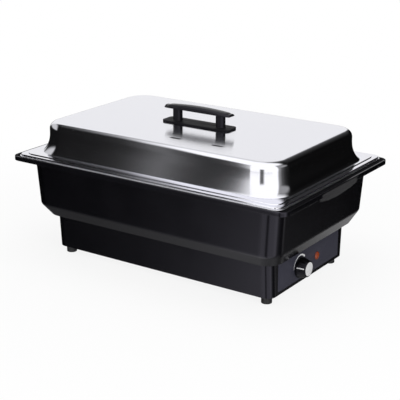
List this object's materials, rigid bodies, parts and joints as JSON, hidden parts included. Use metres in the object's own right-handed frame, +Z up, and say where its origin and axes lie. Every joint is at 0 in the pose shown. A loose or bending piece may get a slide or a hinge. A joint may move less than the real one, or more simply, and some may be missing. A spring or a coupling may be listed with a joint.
{
  "type": "electric chafing dish",
  "caption": "Rectangular electric food warmer: black moulded body on feet with a thermostat knob and lamp at one end, a full-size pan and a domed steel lift-off lid with a black handle.",
  "frame": {"origin": "under the middle of the dish, at the height of the feet's lower faces", "axes": "+X along the dish towards the end with the control panel, -Y towards the front long side, +Z up"},
  "size_m": [0.585, 0.3754, 0.2904],
  "materials": {
    "body_black": "satin",
    "panel_black": "satin",
    "lid_steel": "brushed",
    "pan_steel": "satin",
    "plated_steel": "zinc plated",
    "element_sheath": "oxidised",
    "copper": "drawn",
    "handle_black": "fine grain",
    "foot_rubber": "matt",
    "knob_black": "satin gloss",
    "knob_silver": "turned",
    "print_white": "matt",
    "lens_orange": "clear tinted",
    "white_plastic": "matt",
    "wire_cover": "matt"
  },
  "bodies": {
    "dish_body": {"body_shell": "body_black", "water_pan": "pan_steel", "rim_nuts": "plated_steel", "heating_element": "element_sheath", "element_clamps": "plated_steel", "clamp_nuts": "plated_steel", "sensor_bulb": "copper", "bulb_saddle": "plated_steel", "thermal_cutout": "white_plastic", "heat_shield": "plated_steel", "shield_screws": "plated_steel", "control_panel": "panel_black", "panel_screws": "plated_steel", "thermostat": "white_plastic", "thermostat_nut": "plated_steel", "lamp_lens": "lens_orange", "lamp_body": "white_plastic", "lamp_nut": "handle_black", "terminal_block": "white_plastic", "terminal_screws": "plated_steel", "cord_gland": "handle_black", "gland_nut": "handle_black", "wiring": "wire_cover", "bottom_plate": "plated_steel", "bottom_screws": "plated_steel", "foot_front_left": "foot_rubber", "foot_front_right": "foot_rubber", "foot_rear_left": "foot_rubber", "foot_rear_right": "foot_rubber", "foot_screws": "plated_steel"},
    "pan": {"food_pan": "pan_steel"},
    "lid": {"lid_shell": "lid_steel", "handle_base": "handle_black", "handle_grip": "handle_black", "handle_screws": "plated_steel", "handle_washers": "plated_steel"},
    "dial": {"knob": "knob_black", "knob_cap": "knob_silver", "knob_pointer": "print_white", "thermostat_shaft": "plated_steel"}
  },
  "joints": [
    {"name": "pan_lift", "type": "slide", "parent": "dish_body", "child": "pan", "axis": [0, 0, 1], "range_m": [0, 0.15]},
    {"name": "lid_lift", "type": "slide", "parent": "pan", "child": "lid", "axis": [0, 0, 1], "range_m": [0, 0.15]},
    {"name": "knob_turn", "type": "hinge", "parent": "dish_body", "child": "dial", "pos_m": [0.2362, -0.034, 0.043], "axis": [-1, 0, 0], "range_deg": [0, 270]}
  ]
}
